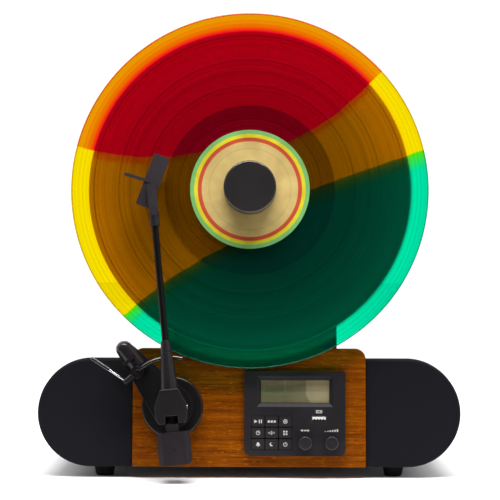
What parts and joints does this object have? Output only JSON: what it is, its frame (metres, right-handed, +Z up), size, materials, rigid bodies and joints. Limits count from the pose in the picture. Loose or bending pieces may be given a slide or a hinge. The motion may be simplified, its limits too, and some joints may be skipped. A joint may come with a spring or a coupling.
{
  "type": "vertical record player",
  "caption": "Record player that holds its record upright on a leaning wooden front panel, with a tonearm, control fascia and speakers in a round-ended base.",
  "frame": {"origin": "middle of the part's box at the height of the table under the feet", "axes": "+X to the right of a listener who faces the record, +Y from the listener to the back, +Z up"},
  "size_m": [0.356, 0.2562, 0.3924],
  "materials": {
    "lacquer": "black gloss lacquer over wood",
    "panel_wood": "satin orange-brown veneer with a level grain",
    "board": "black painted board",
    "cloth": "woven blue-black speaker cloth",
    "black_plastic": "fine textured black",
    "arm_plastic": "satin black",
    "platter_plastic": "satin mid grey",
    "mat_rubber": "ribbed dark grey",
    "fascia_plastic": "satin black",
    "key_plastic": "satin black with printed symbols",
    "knob_plastic": "satin black",
    "gloss_black": "gloss black",
    "rubber": "matt black",
    "driver": "pressed black basket and paper cone",
    "circuit": "green circuit board",
    "plated_metal": "plated",
    "polished_steel": "polished",
    "bronze": "machined",
    "tube_metal": "black anodised",
    "weight_metal": "satin black cast metal",
    "vinyl": "clear coloured vinyl in red, amber and green",
    "label_paper": "tan paper with green, yellow and red rings",
    "stylus_red": "clear red",
    "window": "clear cover",
    "display": "grey-green liquid crystal"
  },
  "bodies": {
    "cabinet": {"cabinet_shell": "lacquer", "baffle_board": "board", "front_panel": "panel_wood", "left_grille": "cloth", "right_grille": "cloth", "back_cover": "black_plastic", "feet": "rubber", "left_driver": "driver", "right_driver": "driver", "main_board": "circuit", "rear_jacks": "plated_metal", "case_screws": "plated_metal", "tower_shell": "black_plastic", "tower_cover": "black_plastic", "bearing_housing": "bronze", "drive_motor": "plated_metal", "drive_belt": "rubber", "tonearm_base": "arm_plastic", "arm_bracket": "arm_plastic", "arm_rest": "gloss_black", "lift_housing": "arm_plastic", "control_fascia": "fascia_plastic", "display_window": "window", "display_module": "display", "control_board": "circuit", "usb_socket": "plated_metal"},
    "turntable": {"platter": "platter_plastic", "platter_mat": "mat_rubber", "spindle": "polished_steel", "drive_pulley": "black_plastic", "record": "vinyl", "record_label": "label_paper"},
    "motor_rotor": {"motor_pulley": "bronze"},
    "clamp": {"record_clamp": "gloss_black"},
    "arm_turn": {"swing_block": "plated_metal"},
    "arm": {"arm_housing": "arm_plastic", "pivot_screws": "plated_metal", "arm_sleeve": "arm_plastic", "arm_tube": "tube_metal", "tube_collar": "arm_plastic", "headshell": "arm_plastic", "cartridge": "gloss_black", "stylus": "stylus_red", "counterweight": "weight_metal"},
    "lift": {"lift_bar": "arm_plastic"},
    "lever": {"lift_shaft": "arm_plastic", "cue_lever": "polished_steel", "lever_grip": "rubber"},
    "tuning": {"tune_knob": "knob_plastic"},
    "volume": {"volume_knob": "knob_plastic"},
    "play_key_body": {"play_key": "key_plastic"},
    "preset_key_body": {"preset_key": "key_plastic"},
    "select_key_body": {"select_key": "key_plastic"},
    "timer_key_body": {"timer_key": "key_plastic"},
    "band_key_body": {"band_key": "key_plastic"},
    "mode_key_body": {"mode_key": "key_plastic"},
    "alarm_key_body": {"alarm_key": "key_plastic"},
    "sleep_key_body": {"sleep_key": "key_plastic"},
    "power_key_body": {"power_key": "key_plastic"}
  },
  "joints": [
    {"name": "platter_spin", "type": "hinge", "parent": "cabinet", "child": "turntable", "pos_m": [0, -0.06554, 0.24141], "axis": [0, -0.9962, 0.0872], "continuous": true},
    {"name": "motor_spin", "type": "hinge", "parent": "cabinet", "child": "motor_rotor", "pos_m": [0, -0.0346, 0.15338], "axis": [0, -0.9962, 0.0872], "continuous": true},
    {"name": "clamp_pull", "type": "slide", "parent": "turntable", "child": "clamp", "axis": [0, -0.9962, 0.0872], "range_m": [0, 0.03]},
    {"name": "arm_swing", "type": "hinge", "parent": "cabinet", "child": "arm_turn", "pos_m": [-0.0642, -0.1114, 0.06143], "axis": [0, -0.9962, 0.0872], "range_deg": [-6.5, 34.3]},
    {"name": "arm_lift", "type": "hinge", "parent": "arm_turn", "child": "arm", "pos_m": [-0.06412, -0.11147, 0.06063], "axis": [0.9954, 0.0084, 0.0955], "range_deg": [0, 4]},
    {"name": "lift_raise", "type": "slide", "parent": "cabinet", "child": "lift", "axis": [0, -0.9962, 0.0872], "range_m": [0, 0.004]},
    {"name": "cue_lever_turn", "type": "hinge", "parent": "cabinet", "child": "lever", "pos_m": [-0.09319, -0.09144, 0.08878], "axis": [0.7771, 0.0548, 0.6269], "range_deg": [0, 75]},
    {"name": "tune_turn", "type": "hinge", "parent": "cabinet", "child": "tuning", "pos_m": [0.0468, -0.09006, 0.03005], "axis": [0, -0.9962, 0.0872], "continuous": true},
    {"name": "volume_turn", "type": "hinge", "parent": "cabinet", "child": "volume", "pos_m": [0.0688, -0.09006, 0.03005], "axis": [0, -0.9962, 0.0872], "range_deg": [-150, 150]},
    {"name": "play_key_press", "type": "slide", "parent": "cabinet", "child": "play_key_body", "axis": [0, 0.9962, -0.0872], "range_m": [0, 0.0008], "stiffness_N_per_m": 600},
    {"name": "preset_key_press", "type": "slide", "parent": "cabinet", "child": "preset_key_body", "axis": [0, 0.9962, -0.0872], "range_m": [0, 0.0008], "stiffness_N_per_m": 600},
    {"name": "select_key_press", "type": "slide", "parent": "cabinet", "child": "select_key_body", "axis": [0, 0.9962, -0.0872], "range_m": [0, 0.0008], "stiffness_N_per_m": 600},
    {"name": "timer_key_press", "type": "slide", "parent": "cabinet", "child": "timer_key_body", "axis": [0, 0.9962, -0.0872], "range_m": [0, 0.0008], "stiffness_N_per_m": 600},
    {"name": "band_key_press", "type": "slide", "parent": "cabinet", "child": "band_key_body", "axis": [0, 0.9962, -0.0872], "range_m": [0, 0.0008], "stiffness_N_per_m": 600},
    {"name": "mode_key_press", "type": "slide", "parent": "cabinet", "child": "mode_key_body", "axis": [0, 0.9962, -0.0872], "range_m": [0, 0.0008], "stiffness_N_per_m": 600},
    {"name": "alarm_key_press", "type": "slide", "parent": "cabinet", "child": "alarm_key_body", "axis": [0, 0.9962, -0.0872], "range_m": [0, 0.0008], "stiffness_N_per_m": 600},
    {"name": "sleep_key_press", "type": "slide", "parent": "cabinet", "child": "sleep_key_body", "axis": [0, 0.9962, -0.0872], "range_m": [0, 0.0008], "stiffness_N_per_m": 600},
    {"name": "power_key_press", "type": "slide", "parent": "cabinet", "child": "power_key_body", "axis": [0, 0.9962, -0.0872], "range_m": [0, 0.0008], "stiffness_N_per_m": 600}
  ],
  "couplings": [
    {"joint": "motor_spin", "follows": "platter_spin", "ratio": 9},
    {"joint": "lift_raise", "follows": "cue_lever_turn", "m_per_rad": 0.0030548},
    {"joint": "arm_lift", "follows": "cue_lever_turn", "ratio": 0.0533}
  ]
}
